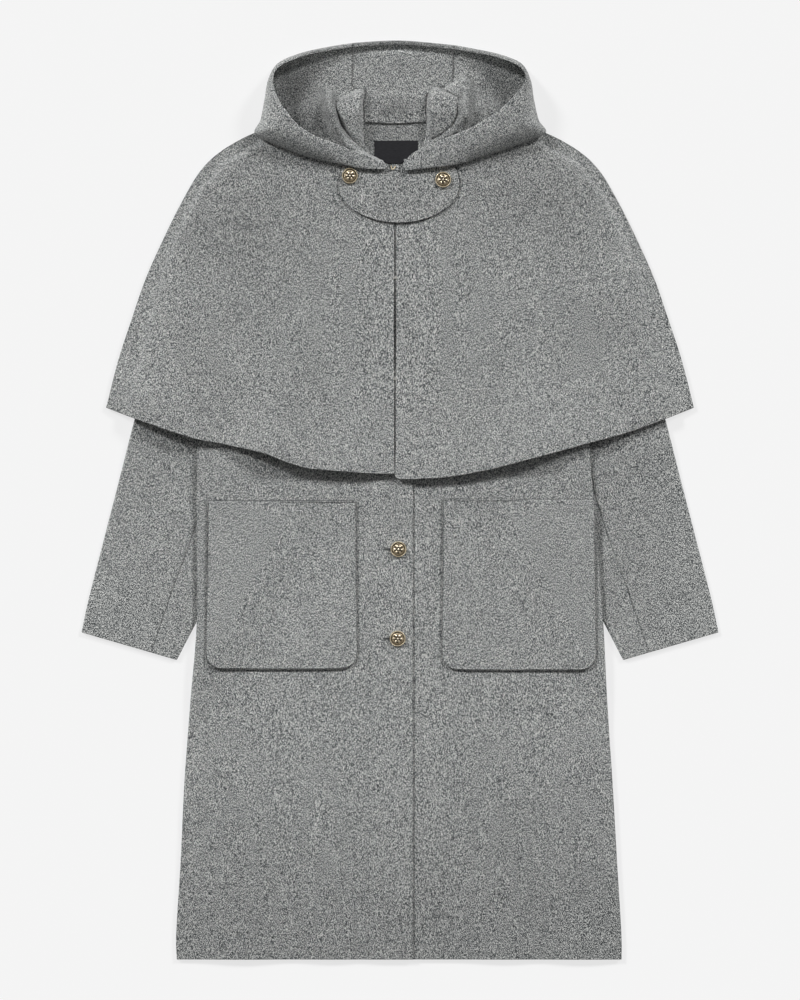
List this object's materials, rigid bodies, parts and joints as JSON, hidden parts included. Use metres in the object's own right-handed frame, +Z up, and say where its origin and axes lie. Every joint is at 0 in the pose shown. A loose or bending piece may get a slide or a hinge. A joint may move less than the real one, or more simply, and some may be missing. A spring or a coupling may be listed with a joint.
{
  "type": "hooded cape coat",
  "caption": "Long wool coat with a hood, an elbow-length cape closed by a throat tab, patch pockets and gilt buttons, laid flat on its back.",
  "frame": {"origin": "centre of the coat's outline on the surface it lies on", "axes": "+X towards the wearer's left sleeve, +Y towards the top of the hood, +Z up off the surface, out of the front of the coat"},
  "size_m": [0.828, 1.194, 0.045],
  "materials": {
    "wool": "brushed mid-grey melange wool",
    "label_satin": "plain black satin",
    "hook_metal": "satin gilt",
    "button_metal": "aged gilt, cast relief"
  },
  "bodies": {
    "root": {"cape_back": "wool", "coat_back": "wool", "sleeve_right_upper": "wool", "sleeve_right_under": "wool", "sleeve_left_upper": "wool", "sleeve_left_under": "wool", "coat_front_right": "wool", "coat_front_left": "wool", "pocket_right": "wool", "pocket_left": "wool", "cape_front_right": "wool", "cape_front_left": "wool", "throat_tab": "wool", "hood_side_right": "wool", "hood_center": "wool", "hood_side_left": "wool", "neck_label": "label_satin", "neck_hook": "hook_metal", "coat_button_upper": "button_metal", "coat_button_lower": "button_metal", "tab_button_right": "button_metal", "tab_button_left": "button_metal"}
  },
  "joints": []
}
